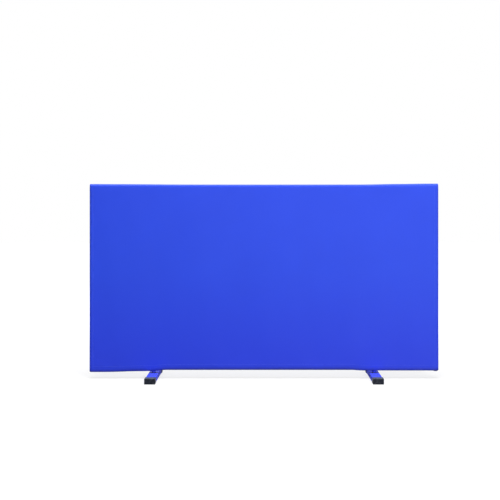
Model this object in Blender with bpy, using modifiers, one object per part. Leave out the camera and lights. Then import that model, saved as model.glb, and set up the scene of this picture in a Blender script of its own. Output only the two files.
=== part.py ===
"""A table tennis barrier: a tube frame on two turning feet, under a lift-off cloth cover.

Metres, +Z up, with the floor at zero. X runs along the barrier and its front faces -Y.
Left is -X. Every piece is one object, and a moving piece hangs from an empty on its axis.
"""

import math

import bmesh
import bpy
from mathutils import Vector

# The gap that pieces keep where they meet, and how far a cutter runs past what it cuts.
FIT_GAP = 0.0003
CUT_OVERRUN = 0.002
MERGE_DISTANCE = 0.00001

# Frame tubes. The rail spacing is between the centres of the top and bottom rails.
FRAME_WIDTH = 1.394
RAIL_SPACING = 0.726
FRAME_TUBE_DIAMETER = 0.016
FRAME_TUBE_WALL = 0.0012
BOTTOM_RAIL_DIAMETER = 0.019
BOTTOM_RAIL_WALL = 0.0012
BOTTOM_RAIL_LAP = 0.003

# Plugs in the lower ends of the uprights, whose ends stand a little below the bottom rail.
UPRIGHT_OVERHANG = 0.0035
PLUG_FLANGE_THICKNESS = 0.002
PLUG_STEM_LENGTH = 0.010
PLUG_STEM_TAPER = 0.0004
PLUG_EDGE = 0.0006

# Feet: a rectangular tube across the barrier, with a sleeve cap on each end.
FOOT_SPACING = 0.886
FOOT_LENGTH = 0.300
FOOT_TUBE_WIDTH = 0.040
FOOT_TUBE_HEIGHT = 0.020
FOOT_TUBE_WALL = 0.0012
FOOT_TUBE_CORNER = 0.002
CAP_LENGTH = 0.036
CAP_WALL = 0.0012
CAP_EDGE = 0.0025

# Pivot stack, from the foot tube up: bolt, thin washer, boss, rail, saddle washer, wing nut.
BOLT_DIAMETER = 0.006
BOLT_HOLE_CLEARANCE = 0.0003
BOLT_HEAD_DIAMETER = 0.016
BOLT_HEAD_HEIGHT = 0.0033
BOLT_HEAD_RIM = 0.0008
BOLT_TIP_CHAMFER = 0.0006
BOLT_STANDOUT = 0.004
ACCESS_HOLE_CLEARANCE = 0.002
PIVOT_WASHER_DIAMETER = 0.020
PIVOT_WASHER_THICKNESS = 0.001
BOSS_DIAMETER = 0.016
BOSS_HEIGHT = 0.0091
SADDLE_LENGTH = 0.020
SADDLE_WIDTH = 0.016
SADDLE_CROWN = 0.002
SADDLE_SKIRT = 0.0035
SADDLE_CORNER = 0.003

# Wing nuts. The turn is from the depth axis, as each was left when it was tightened.
NUT_BASE_DIAMETER = 0.0115
NUT_TOP_DIAMETER = 0.0095
NUT_HUB_HEIGHT = 0.0065
NUT_HEIGHT = 0.0124
WING_SPAN = 0.024
WING_THICKNESS = 0.0022
WING_LOBE_RADIUS = 0.0038
WING_ROOT_RISE = 0.0008
WING_ARC_DEGREES = (-70, 130)
WING_TURN_DEGREES = {"left": 18, "right": 0}

# Cover: cloth over the top rail, closed by a strip at each end and open below.
CLOTH_THICKNESS = 0.0008
COVER_SIDE_PLAY = 0.0022
COVER_NUT_CLEARANCE = 0.0006
HEM_TURN_UP = 0.025
HEM_FOLD_GAP = 0.0003
HEM_RISE = 0.003
HEM_EASE = 0.045
HEM_DROP = {"left": 0.0065, "right": 0.003}

# How finely curved shapes are divided.
TUBE_SIDES = 32
HOLE_SIDES = 24
TURNED_SIDES = 32
EDGE_SEGMENTS = 4
ARC_SEGMENTS = 14
PANEL_COLUMNS = 30
PANEL_FACE_ROWS = 8
HEM_FOLD_ROWS = 4
HEM_FLAP_ROWS = 1
SHARP_DEGREES = 30

# Heights of the stack, from the floor up.
CAP_HEIGHT = FOOT_TUBE_HEIGHT + 2 * (CAP_WALL + FIT_GAP)
CAP_WIDTH = FOOT_TUBE_WIDTH + 2 * (CAP_WALL + FIT_GAP)
FOOT_MIDDLE = CAP_HEIGHT / 2
FOOT_TOP = FOOT_MIDDLE + FOOT_TUBE_HEIGHT / 2
PIVOT_WASHER_BASE = FOOT_TOP + FIT_GAP
BOSS_BASE = PIVOT_WASHER_BASE + PIVOT_WASHER_THICKNESS + FIT_GAP
RAIL_UNDERSIDE = BOSS_BASE + BOSS_HEIGHT + FIT_GAP
BOTTOM_RAIL_CENTRE = RAIL_UNDERSIDE + BOTTOM_RAIL_DIAMETER / 2
RAIL_CROWN = RAIL_UNDERSIDE + BOTTOM_RAIL_DIAMETER
SADDLE_TOP = RAIL_CROWN + FIT_GAP + SADDLE_CROWN
NUT_BASE = SADDLE_TOP + FIT_GAP
BOLT_TIP = NUT_BASE + NUT_HUB_HEIGHT + BOLT_STANDOUT
TOP_RAIL_CENTRE = BOTTOM_RAIL_CENTRE + RAIL_SPACING
BOLT_HEAD_TOP = FOOT_TOP - FOOT_TUBE_WALL - FIT_GAP
PLUG_BASE = RAIL_UNDERSIDE - UPRIGHT_OVERHANG
UPRIGHT_BASE = PLUG_BASE + PLUG_FLANGE_THICKNESS + FIT_GAP

# Places along and across the barrier.
UPRIGHT_CENTRE = (FRAME_WIDTH - FRAME_TUBE_DIAMETER) / 2
FOOT_CENTRE = FOOT_SPACING / 2
BOLT_HOLE_DIAMETER = BOLT_DIAMETER + 2 * BOLT_HOLE_CLEARANCE
END_STRIP_INSIDE = FRAME_WIDTH / 2 + COVER_SIDE_PLAY
COVER_CLOTH_END = END_STRIP_INSIDE - FIT_GAP
FOLD_RADIUS = FRAME_TUBE_DIAMETER / 2 + FIT_GAP + CLOTH_THICKNESS / 2
HEM_FOLD_RADIUS = (CLOTH_THICKNESS + HEM_FOLD_GAP) / 2
WIDEST_INSIDE = max(WING_SPAN, BOTTOM_RAIL_DIAMETER, SADDLE_WIDTH) / 2
HEM_DEPTH = WIDEST_INSIDE + COVER_NUT_CLEARANCE + CLOTH_THICKNESS / 2 + 2 * HEM_FOLD_RADIUS
HEM_HEIGHT = RAIL_UNDERSIDE + HEM_RISE

SIDES = {"left": -1, "right": 1}
AXIS_TURNS = {"X": (0, math.radians(90), 0), "Y": (math.radians(90), 0, 0), "Z": (0, 0, 0)}


def linear(hex_colour):
    """An sRGB hex colour as linear red, green, blue and alpha."""
    shares = [int(hex_colour[i : i + 2], 16) / 255 for i in (1, 3, 5)]
    return [s / 12.92 if s <= 0.04045 else ((s + 0.055) / 1.055) ** 2.4 for s in shares] + [1]


def make_material(name, hex_colour, roughness, metallic=0):
    """A material of one Principled BSDF."""
    material = bpy.data.materials.new(name)
    material.use_nodes = True
    shader = material.node_tree.nodes["Principled BSDF"]
    shader.inputs["Base Color"].default_value = linear(hex_colour)
    shader.inputs["Roughness"].default_value = roughness
    shader.inputs["Metallic"].default_value = metallic
    material.diffuse_color = linear(hex_colour)
    return material


def make_collection(name):
    """A collection of the scene."""
    collection = bpy.data.collections.new(name)
    bpy.context.scene.collection.children.link(collection)
    return collection


for old in list(bpy.data.objects):
    bpy.data.objects.remove(old, do_unlink=True)

BARRIER = make_collection("table_tennis_barrier")
CUTTERS = make_collection("cutters")
PAINT = make_material("blue_powder_coat", "#3C4ED4", 0.35)
CLOTH = make_material("blue_cover_cloth", "#3349DD", 0.75)
BLACK = make_material("black_plastic", "#2D3038", 0.5)
ZINC = make_material("zinc_plate", "#C9C9CB", 0.3, 1)


def add_piece(name, data, material, place, turn=(0, 0, 0), parent=None):
    """A visible object at a place in the world, carried by a parent."""
    piece = bpy.data.objects.new(name, data)
    if not data.materials:
        data.materials.append(material)
    piece.location = place
    piece.rotation_euler = turn
    BARRIER.objects.link(piece)
    if parent:
        carry(piece, parent)
    return piece


def add_cutter(name, data, place, turn=(0, 0, 0)):
    """A hidden object that a Boolean reads."""
    cutter = bpy.data.objects.new(name, data)
    cutter.location = place
    cutter.rotation_euler = turn
    cutter.hide_render = True
    cutter.display_type = "WIRE"
    CUTTERS.objects.link(cutter)
    return cutter


def add_pivot(name, place, parent=None):
    """An empty on a joint's axis."""
    pivot = bpy.data.objects.new(name, None)
    pivot.location = place
    pivot.empty_display_size = BOSS_DIAMETER
    BARRIER.objects.link(pivot)
    if parent:
        carry(pivot, parent)
    return pivot


def carry(child, parent):
    """Parents an object and leaves it where it stands."""
    bpy.context.view_layer.update()
    child.parent = parent
    child.matrix_parent_inverse = parent.matrix_world.inverted()


def join_or_cut(piece, other, operation="DIFFERENCE"):
    """Cuts a piece by another object, or joins that object to it with UNION."""
    boolean = piece.modifiers.new(operation.title(), "BOOLEAN")
    boolean.operation = operation
    boolean.solver = "EXACT"
    boolean.object = other


def give_wall(piece, thickness, offset=-1):
    """Makes an open surface a wall, inwards from it or, with an offset of 0, on both its sides."""
    wall = piece.modifiers.new("Wall", "SOLIDIFY")
    wall.thickness = thickness
    wall.offset = offset
    wall.use_even_offset = True


def finished_mesh(name, shape):
    """A mesh of a bmesh, smooth but for its sharp edges."""
    bmesh.ops.recalc_face_normals(shape, faces=shape.faces)
    mesh = bpy.data.meshes.new(name)
    shape.to_mesh(mesh)
    shape.free()
    mesh.shade_smooth()
    mesh.set_sharp_from_angle(angle=math.radians(SHARP_DEGREES))
    return mesh


def cone_mesh(name, base_diameter, top_diameter, length, sides, closed=True):
    """A cylinder or cone about its own Z, centred on its origin."""
    shape = bmesh.new()
    bmesh.ops.create_cone(
        shape,
        cap_ends=closed,
        segments=sides,
        radius1=base_diameter / 2,
        radius2=top_diameter / 2,
        depth=length,
    )
    return finished_mesh(name, shape)


def cylinder_mesh(name, diameter, length, sides=HOLE_SIDES, closed=True):
    """A cylinder about its own Z, centred on its origin."""
    return cone_mesh(name, diameter, diameter, length, sides, closed)


def block_shape(size):
    """A box of a size, centred on the origin."""
    shape = bmesh.new()
    bmesh.ops.create_cube(shape, size=1)
    bmesh.ops.scale(shape, vec=size, verts=shape.verts)
    return shape


def edges_along(shape, axis):
    """The edges that run along an axis: 0 is X, 1 is Y and 2 is Z."""
    runs = [(edge, edge.verts[1].co - edge.verts[0].co) for edge in shape.edges]
    return [edge for edge, run in runs if abs(run[axis]) > run.length / 2]


def round_edges(shape, edges, radius):
    """Rounds some edges of a shape."""
    bmesh.ops.bevel(
        shape, geom=edges, offset=radius, segments=EDGE_SEGMENTS, profile=0.5, affect="EDGES"
    )


def delete_faces_towards(shape, directions):
    """Opens a box on the sides that face the given directions."""
    found = [
        face for face in shape.faces if any(face.normal.dot(Vector(d)) > 0.99 for d in directions)
    ]
    bmesh.ops.delete(shape, geom=found, context="FACES")


def turned(name, profile, material, place, parent=None, ring=False):
    """A shape turned about its own Z from (radius, height) points that run down its outer side.

    A ring's profile closes on itself. Any other begins and ends on the axis.
    """
    count = len(profile)
    mesh = bpy.data.meshes.new(name)
    pairs = [(i, i + 1) for i in range(count - 1)] + ([(count - 1, 0)] if ring else [])
    mesh.from_pydata([(radius, 0, height) for radius, height in profile], pairs, [])
    piece = add_piece(name, mesh, material, place, parent=parent)
    screw = piece.modifiers.new("Turn", "SCREW")
    screw.steps = TURNED_SIDES
    screw.render_steps = TURNED_SIDES
    screw.use_merge_vertices = True
    screw.merge_threshold = MERGE_DISTANCE
    return piece


def flat_outline(name, points, thickness):
    """A curve that fills an outline in its own XY plane and has a thickness."""
    curve = bpy.data.curves.new(name, "CURVE")
    curve.dimensions = "2D"
    curve.fill_mode = "BOTH"
    curve.extrude = thickness / 2
    spline = curve.splines.new("POLY")
    spline.points.add(len(points) - 1)
    for point, (x, y) in zip(spline.points, points):
        point.co = (x, y, 0, 1)
    spline.use_cyclic_u = True
    return curve


def outline_mesh(name, points, thickness):
    """The same filled outline as a closed mesh, for a Boolean."""
    curve = flat_outline(name, points, thickness)
    holder = bpy.data.objects.new(name, curve)
    CUTTERS.objects.link(holder)
    bpy.context.view_layer.update()
    graph = bpy.context.evaluated_depsgraph_get()
    mesh = bpy.data.meshes.new_from_object(holder.evaluated_get(graph))
    shape = bmesh.new()
    shape.from_mesh(mesh)
    bmesh.ops.remove_doubles(shape, verts=shape.verts, dist=MERGE_DISTANCE)
    bpy.data.objects.remove(holder)
    bpy.data.meshes.remove(mesh)
    bpy.data.curves.remove(curve)
    return finished_mesh(name, shape)


def arc(centre, radius, start_degrees, end_degrees):
    """Points of an arc in a plane, both ends included."""
    turn = (end_degrees - start_degrees) / ARC_SEGMENTS
    angles = [math.radians(start_degrees + turn * i) for i in range(ARC_SEGMENTS + 1)]
    return [(centre[0] + radius * math.cos(a), centre[1] + radius * math.sin(a)) for a in angles]


def tube(name, diameter, wall, length, axis, place, parent):
    """A straight open tube along an axis."""
    surface = cylinder_mesh(name, diameter, length, TUBE_SIDES, closed=False)
    piece = add_piece(name, surface, PAINT, place, AXIS_TURNS[axis], parent)
    give_wall(piece, wall)
    return piece


def mitre_cutter(name, side, outward, downward):
    """A block whose face is the mitre plane of a top corner, on the side that is cut away."""
    size = 3 * FRAME_TUBE_DIAMETER
    away = Vector((outward * side, 0, downward)).normalized()
    corner = Vector((side * UPRIGHT_CENTRE, 0, TOP_RAIL_CENTRE))
    place = corner + away * (size - FIT_GAP) / 2
    mesh = finished_mesh(name, block_shape((size, size, size)))
    return add_cutter(name, mesh, place, (0, math.radians(45), 0))


def make_bolt_holes():
    """For each side, the cutter of the hole through boss, rail and saddle washer."""
    reach = (BOSS_BASE - CUT_OVERRUN, SADDLE_TOP + CUT_OVERRUN)
    mesh = cylinder_mesh("bolt_hole", BOLT_HOLE_DIAMETER, reach[1] - reach[0])
    return {
        name: add_cutter(f"{name}_bolt_hole", mesh, (side * FOOT_CENTRE, 0, sum(reach) / 2))
        for name, side in SIDES.items()
    }


def make_frame(base, bolt_holes):
    """The welded frame: two uprights, two rails, and the bosses under the bottom rail."""
    upright_top = TOP_RAIL_CENTRE + FRAME_TUBE_DIAMETER / 2
    upright_length = upright_top - UPRIGHT_BASE
    top_rail = tube(
        "top_rail",
        FRAME_TUBE_DIAMETER,
        FRAME_TUBE_WALL,
        FRAME_WIDTH,
        "X",
        (0, 0, TOP_RAIL_CENTRE),
        base,
    )
    bottom_rail = tube(
        "bottom_rail",
        BOTTOM_RAIL_DIAMETER,
        BOTTOM_RAIL_WALL,
        2 * (UPRIGHT_CENTRE - FRAME_TUBE_DIAMETER / 2 + BOTTOM_RAIL_LAP),
        "X",
        (0, 0, BOTTOM_RAIL_CENTRE),
        base,
    )
    upright_room = cylinder_mesh(
        "upright_room", FRAME_TUBE_DIAMETER + 2 * FIT_GAP, 2 * BOTTOM_RAIL_DIAMETER, TUBE_SIDES
    )
    for name, side in SIDES.items():
        upright = tube(
            f"{name}_upright",
            FRAME_TUBE_DIAMETER,
            FRAME_TUBE_WALL,
            upright_length,
            "Z",
            (side * UPRIGHT_CENTRE, 0, UPRIGHT_BASE + upright_length / 2),
            base,
        )
        join_or_cut(top_rail, mitre_cutter(f"{name}_rail_mitre", side, 1, -1))
        join_or_cut(upright, mitre_cutter(f"{name}_upright_mitre", side, -1, 1))
        place = (side * UPRIGHT_CENTRE, 0, BOTTOM_RAIL_CENTRE)
        join_or_cut(bottom_rail, add_cutter(f"{name}_upright_room", upright_room, place))
        join_or_cut(bottom_rail, bolt_holes[name])
        make_plug(name, side, base)


def make_plug(name, side, base):
    """A plug in an upright's lower end: a flange below the tube and a stem inside it."""
    flange = FRAME_TUBE_DIAMETER / 2
    stem = flange - FRAME_TUBE_WALL - FIT_GAP
    shoulder = PLUG_FLANGE_THICKNESS
    top = shoulder + PLUG_STEM_LENGTH
    profile = [
        (0, top),
        (stem - PLUG_STEM_TAPER, top),
        (stem, shoulder),
        (flange, shoulder),
        (flange, PLUG_EDGE),
        (flange - PLUG_EDGE, 0),
        (0, 0),
    ]
    place = (side * UPRIGHT_CENTRE, 0, PLUG_BASE)
    turned(f"{name}_upright_plug", profile, BLACK, place, base)


def make_rail_fittings(base, bolt_holes):
    """The boss under the bottom rail and the saddle washer on it, at each bolt."""
    rail_room = add_cutter(
        "rail_room",
        cylinder_mesh(
            "rail_room", BOTTOM_RAIL_DIAMETER + 2 * FIT_GAP, FRAME_WIDTH, TUBE_SIDES
        ),
        (0, 0, BOTTOM_RAIL_CENTRE),
        AXIS_TURNS["X"],
    )
    boss_length = BOTTOM_RAIL_CENTRE - BOSS_BASE
    boss_mesh = cylinder_mesh("boss", BOSS_DIAMETER, boss_length, TUBE_SIDES)
    saddle_height = SADDLE_CROWN + FIT_GAP + SADDLE_SKIRT
    saddle = block_shape((SADDLE_LENGTH, SADDLE_WIDTH, saddle_height))
    round_edges(saddle, edges_along(saddle, 2), SADDLE_CORNER)
    saddle_mesh = finished_mesh("saddle", saddle)
    for name, side in SIDES.items():
        x = side * FOOT_CENTRE
        boss_place = (x, 0, BOSS_BASE + boss_length / 2)
        saddle_place = (x, 0, SADDLE_TOP - saddle_height / 2)
        boss = add_piece(f"{name}_pivot_boss", boss_mesh, PAINT, boss_place, parent=base)
        washer = add_piece(
            f"{name}_saddle_washer", saddle_mesh, BLACK, saddle_place, parent=base
        )
        for piece in (boss, washer):
            join_or_cut(piece, rail_room)
            join_or_cut(piece, bolt_holes[name])


def foot_tube_mesh():
    """The open surface of a foot tube, along Y, which ends short of the caps' rounded insides."""
    length = FOOT_LENGTH - 2 * (max(CAP_EDGE, CAP_WALL) + FIT_GAP)
    shape = block_shape((FOOT_TUBE_WIDTH, length, FOOT_TUBE_HEIGHT))
    round_edges(shape, edges_along(shape, 1), FOOT_TUBE_CORNER)
    delete_faces_towards(shape, [(0, 1, 0), (0, -1, 0)])
    return finished_mesh("foot_tube", shape)


def cap_mesh():
    """The outer surface of an end cap that is open towards +Y, with its other edges rounded."""
    shape = block_shape((CAP_WIDTH, CAP_LENGTH, CAP_HEIGHT))
    open_rim = [edge for edge in shape.edges if all(v.co.y > 0 for v in edge.verts)]
    round_edges(shape, [edge for edge in shape.edges if edge not in open_rim], CAP_EDGE)
    delete_faces_towards(shape, [(0, 1, 0)])
    return finished_mesh("end_cap", shape)


def bolt_profile():
    """A round-headed bolt's outline from its tip down to its head, from the tip's height 0."""
    shank = BOLT_DIAMETER / 2
    head = BOLT_HEAD_DIAMETER / 2
    under_head = BOLT_HEAD_TOP - BOLT_TIP
    rim = under_head - BOLT_HEAD_RIM
    dome = BOLT_HEAD_HEIGHT - BOLT_HEAD_RIM
    quarter = arc((0, 0), 1, 0, -90)
    return [
        (0, 0),
        (shank - BOLT_TIP_CHAMFER, 0),
        (shank, -BOLT_TIP_CHAMFER),
        (shank, under_head),
        (head, under_head),
        *[(head * across, rim + dome * down) for across, down in quarter[:-1]],
        (0, rim - dome),
    ]


def make_foot(name, side, base, meshes):
    """A foot: its tube, two caps, bolt and thin washer, on the empty that it turns about."""
    x = side * FOOT_CENTRE
    pivot = add_pivot(f"{name}_foot_pivot", (x, 0, FOOT_TOP), base)
    foot = add_piece(f"{name}_foot_tube", meshes["tube"], PAINT, (x, 0, FOOT_MIDDLE), parent=pivot)
    give_wall(foot, FOOT_TUBE_WALL)
    through = 2 * (FOOT_TUBE_WALL + CUT_OVERRUN)
    square = (BOLT_HOLE_DIAMETER, BOLT_HOLE_DIAMETER, through)
    neck_hole = add_cutter(
        f"{name}_neck_hole", finished_mesh("neck_hole", block_shape(square)), (x, 0, FOOT_TOP)
    )
    access = BOLT_HEAD_DIAMETER + 2 * ACCESS_HOLE_CLEARANCE
    access_hole = add_cutter(
        f"{name}_access_hole",
        cylinder_mesh("access_hole", access, through),
        (x, 0, FOOT_TOP - FOOT_TUBE_HEIGHT),
    )
    join_or_cut(foot, neck_hole)
    join_or_cut(foot, access_hole)
    cap_reach = (FOOT_LENGTH - CAP_LENGTH) / 2
    for end, facing, turn in (("front", -1, 0), ("rear", 1, math.pi)):
        place = (x, facing * cap_reach, FOOT_MIDDLE)
        cap_name = f"{name}_{end}_cap"
        cap = add_piece(cap_name, meshes["cap"], BLACK, place, (0, 0, turn), pivot)
        give_wall(cap, CAP_WALL)
    bolt = turned(f"{name}_bolt", bolt_profile(), ZINC, (x, 0, BOLT_TIP), pivot)
    neck_height = FOOT_TOP - BOLT_HEAD_TOP
    neck_size = (BOLT_DIAMETER, BOLT_DIAMETER, 2 * neck_height)
    neck = finished_mesh("neck", block_shape(neck_size))
    join_or_cut(bolt, add_cutter(f"{name}_neck", neck, (x, 0, BOLT_HEAD_TOP)), "UNION")
    outer, bore = PIVOT_WASHER_DIAMETER / 2, BOLT_HOLE_DIAMETER / 2
    thickness = PIVOT_WASHER_THICKNESS
    ring = [(outer, thickness), (outer, 0), (bore, 0), (bore, thickness)]
    place = (x, 0, PIVOT_WASHER_BASE)
    turned(f"{name}_pivot_washer", ring, BLACK, place, pivot, ring=True)
    return pivot


def wing_outline():
    """One wing from the hub out: a straight root inside the hub and a round lobe."""
    root = (BOLT_HOLE_DIAMETER + NUT_TOP_DIAMETER) / 4
    lobe = (WING_SPAN / 2 - WING_LOBE_RADIUS, NUT_HEIGHT - WING_LOBE_RADIUS)
    low = (root, WING_ROOT_RISE)
    high = (root, NUT_HUB_HEIGHT - WING_ROOT_RISE)
    return [low, *arc(lobe, WING_LOBE_RADIUS, *WING_ARC_DEGREES), high]


def make_wing_nut(name, side, foot_pivot, meshes):
    """A wing nut on its bolt: a conical hub with two wings, and its bore."""
    x = side * FOOT_CENTRE
    pivot = add_pivot(f"{name}_wing_nut_pivot", (x, 0, NUT_BASE), foot_pivot)
    hub_place = (x, 0, NUT_BASE + NUT_HUB_HEIGHT / 2)
    nut = add_piece(f"{name}_wing_nut", meshes["hub"], ZINC, hub_place, parent=pivot)
    for wing, half_turn in (("front", -90), ("rear", 90)):
        heading = math.radians(half_turn + WING_TURN_DEGREES[name])
        turn = (math.radians(90), 0, heading)
        blade = add_cutter(f"{name}_{wing}_wing", meshes["wing"], (x, 0, NUT_BASE), turn)
        join_or_cut(nut, blade, "UNION")
    bore = cylinder_mesh("nut_bore", BOLT_HOLE_DIAMETER, NUT_HEIGHT + 2 * CUT_OVERRUN)
    join_or_cut(nut, add_cutter(f"{name}_nut_bore", bore, (x, 0, NUT_BASE + NUT_HEIGHT / 2)))


def hem_height(x):
    """The lower edge's height: level between the feet, and eased down beyond each of them."""
    drop = HEM_DROP["left" if x < 0 else "right"]
    share = (abs(x) - FOOT_CENTRE + HEM_EASE) / (2 * HEM_EASE)
    share = min(max(share, 0), 1)
    return HEM_HEIGHT - drop * share * share * (3 - 2 * share)


def cloth_mesh(name, columns, rows, point_at):
    """A grid whose points are placed by a function of x and of the row, counted from 0."""
    shape = bmesh.new()
    bmesh.ops.create_grid(shape, x_segments=columns, y_segments=rows, size=1)
    for vertex in shape.verts:
        x = vertex.co.x * COVER_CLOTH_END
        vertex.co = point_at(x, round((vertex.co.y + 1) / 2 * rows))
    return finished_mesh(name, shape)


def panel_point(facing, x, row):
    """A point midway through a panel's cloth: down its face, round the hem and up inside."""
    top = TOP_RAIL_CENTRE - FIT_GAP
    fold = hem_height(x) + CLOTH_THICKNESS / 2 + HEM_FOLD_RADIUS
    slope = (FOLD_RADIUS - HEM_DEPTH) / (top - fold)
    past_face = row - PANEL_FACE_ROWS
    past_fold = past_face - HEM_FOLD_ROWS
    if past_face <= 0:
        z = top + (fold - top) * row / PANEL_FACE_ROWS
        depth = HEM_DEPTH + slope * (z - fold)
    elif past_fold <= 0:
        angle = math.pi * past_face / HEM_FOLD_ROWS
        z = fold - HEM_FOLD_RADIUS * math.sin(angle)
        depth = HEM_DEPTH - HEM_FOLD_RADIUS * (1 - math.cos(angle))
    else:
        z = fold + HEM_TURN_UP * past_fold / HEM_FLAP_ROWS
        depth = HEM_DEPTH + slope * (z - fold) - 2 * HEM_FOLD_RADIUS
    return (x, facing * depth, z)


def fold_point(x, row):
    """A point midway through the cloth where it goes over the top rail."""
    angle = math.pi * row / ARC_SEGMENTS
    return (
        x,
        -FOLD_RADIUS * math.cos(angle),
        TOP_RAIL_CENTRE + FOLD_RADIUS * math.sin(angle),
    )


def end_strip_outline(side):
    """The cover's section at an end, as (depth, height): tapered sides under a half circle."""
    outside = FOLD_RADIUS + CLOTH_THICKNESS / 2
    base = HEM_DEPTH + CLOTH_THICKNESS / 2
    hem = hem_height(side * COVER_CLOTH_END)
    return [(-base, hem), (base, hem), *arc((0, TOP_RAIL_CENTRE), outside, 0, 180)]


def make_cover(lift):
    """The sleeve: a front and a back panel, the fold over the top rail, and two end strips."""
    rows = PANEL_FACE_ROWS + HEM_FOLD_ROWS + HEM_FLAP_ROWS
    for name, facing in (("front", -1), ("back", 1)):
        mesh = cloth_mesh(
            f"cover_{name}_panel",
            PANEL_COLUMNS,
            rows,
            lambda x, row, facing=facing: panel_point(facing, x, row),
        )
        panel = add_piece(f"cover_{name}_panel", mesh, CLOTH, (0, 0, 0), parent=lift)
        give_wall(panel, CLOTH_THICKNESS, offset=0)
    fold = add_piece(
        "cover_top_fold",
        cloth_mesh("cover_top_fold", 1, ARC_SEGMENTS, fold_point),
        CLOTH,
        (0, 0, 0),
        parent=lift,
    )
    give_wall(fold, CLOTH_THICKNESS, offset=0)
    for name, side in SIDES.items():
        curve = flat_outline(f"cover_{name}_end", end_strip_outline(side), CLOTH_THICKNESS)
        place = (side * (END_STRIP_INSIDE + CLOTH_THICKNESS / 2), 0, 0)
        turn = (math.radians(90), 0, math.radians(90))
        add_piece(f"cover_{name}_end", curve, CLOTH, place, turn, lift)


def make_barrier():
    """Every piece of the barrier."""
    base = add_pivot("frame_base", (0, 0, 0))
    bolt_holes = make_bolt_holes()
    make_frame(base, bolt_holes)
    make_rail_fittings(base, bolt_holes)
    meshes = {
        "tube": foot_tube_mesh(),
        "cap": cap_mesh(),
        "hub": cone_mesh(
            "nut_hub", NUT_BASE_DIAMETER, NUT_TOP_DIAMETER, NUT_HUB_HEIGHT, TURNED_SIDES
        ),
        "wing": outline_mesh("wing", wing_outline(), WING_THICKNESS),
    }
    for name, side in SIDES.items():
        foot_pivot = make_foot(name, side, base, meshes)
        make_wing_nut(name, side, foot_pivot, meshes)
    make_cover(add_pivot("cover_lift", (0, 0, TOP_RAIL_CENTRE), base))


make_barrier()
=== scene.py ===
"""Scene of a table tennis barrier: a painted tube frame on two turning feet, under a cloth cover.

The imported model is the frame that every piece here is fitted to. Lengths are in metres and +Z is
up. X runs along the barrier, whose front faces -Y, and left is -X.
"""

from __future__ import annotations

import logging
import math
from dataclasses import dataclass
from enum import Enum
from typing import Any

import bmesh
import bpy
import numpy as np
from bpy.types import Material, Mesh, Node, NodeSocket, NodeTree, Object
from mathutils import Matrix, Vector


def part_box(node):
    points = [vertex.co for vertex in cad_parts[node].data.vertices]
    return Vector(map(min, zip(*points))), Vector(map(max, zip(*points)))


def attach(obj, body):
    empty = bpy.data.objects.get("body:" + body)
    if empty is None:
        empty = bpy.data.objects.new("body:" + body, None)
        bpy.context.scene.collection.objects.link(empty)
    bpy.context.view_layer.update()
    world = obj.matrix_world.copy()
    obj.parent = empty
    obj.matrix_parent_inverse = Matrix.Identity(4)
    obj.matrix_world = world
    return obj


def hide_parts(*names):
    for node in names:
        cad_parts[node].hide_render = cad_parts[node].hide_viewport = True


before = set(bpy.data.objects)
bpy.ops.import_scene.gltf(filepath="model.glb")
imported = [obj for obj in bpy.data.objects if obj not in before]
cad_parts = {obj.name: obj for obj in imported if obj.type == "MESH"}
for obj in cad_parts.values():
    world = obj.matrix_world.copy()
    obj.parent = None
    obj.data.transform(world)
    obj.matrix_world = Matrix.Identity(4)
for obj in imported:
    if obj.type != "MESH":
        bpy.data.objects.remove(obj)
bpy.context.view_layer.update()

LOG = logging.getLogger("barrier")
MM = 0.001
MERGE_DISTANCE = 0.001 * MM
CLOTH_UV = "cloth_metres"
SEAM_AND_SHADE_MARKS = "seam_and_painted_shade_marks"


class Side(Enum):
    """The two ends of the barrier, seen from the front."""

    LEFT = -1
    RIGHT = 1

    @property
    def word(self) -> str:
        """The side's name as CAD nodes write it."""
        return self.name.lower()


class Slot(Enum):
    """The record's material slot names for the pieces made here; nothing in this script uses them.
    """

    PAINT = "blue_powder_coat"
    CLOTH = "blue_cover_cloth"
    ZINC = "zinc_plate"


@dataclass(frozen=True)
class Extent:
    """A CAD node's box at rest."""

    low: np.ndarray
    high: np.ndarray

    @classmethod
    def of(cls, node: str) -> Extent:
        """The box of a node."""
        low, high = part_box(node)
        return cls(np.array(low), np.array(high))

    @property
    def centre(self) -> np.ndarray:
        """The middle of the box."""
        return (self.low + self.high) / 2

    @property
    def size(self) -> np.ndarray:
        """The box's three sides."""
        return self.high - self.low


def eased(share: np.ndarray) -> np.ndarray:
    """A share from 0 to 1 that starts and ends level: 3 s squared less 2 s cubed."""
    s = np.clip(share, 0, 1)
    return s * s * (3 - 2 * s)


def eased_line(x: np.ndarray, knots: np.ndarray) -> np.ndarray:
    """A line through some points that is level at each of them.

    Args:
        x: where the line is wanted
        knots: rows of place and height, in rising order of place

    Returns:
        The line's height at each x.
    """
    places, heights = knots.T
    k = np.clip(np.searchsorted(places, x) - 1, 0, len(places) - 2)
    share = eased((x - places[k]) / (places[k + 1] - places[k]))
    return heights[k] + (heights[k + 1] - heights[k]) * share


def grid_quads(rows: int, columns: int, close_rows: bool = False) -> np.ndarray:
    """The corners of a grid's faces: each point with the next along its column and its row.

    Args:
        rows: how many rows of points there are
        columns: how many points a row has, the last of which joins the first
        close_rows: whether the last row joins the first

    Returns:
        Four point numbers a face.
    """
    row = np.arange(rows if close_rows else rows - 1)
    r, c = (a.ravel() for a in np.meshgrid(row, np.arange(columns), indexing="ij"))
    here, below = r * columns, (r + 1) % rows * columns
    c_next = (c + 1) % columns
    return np.stack([here + c, here + c_next, below + c_next, below + c], axis=-1)


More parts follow.
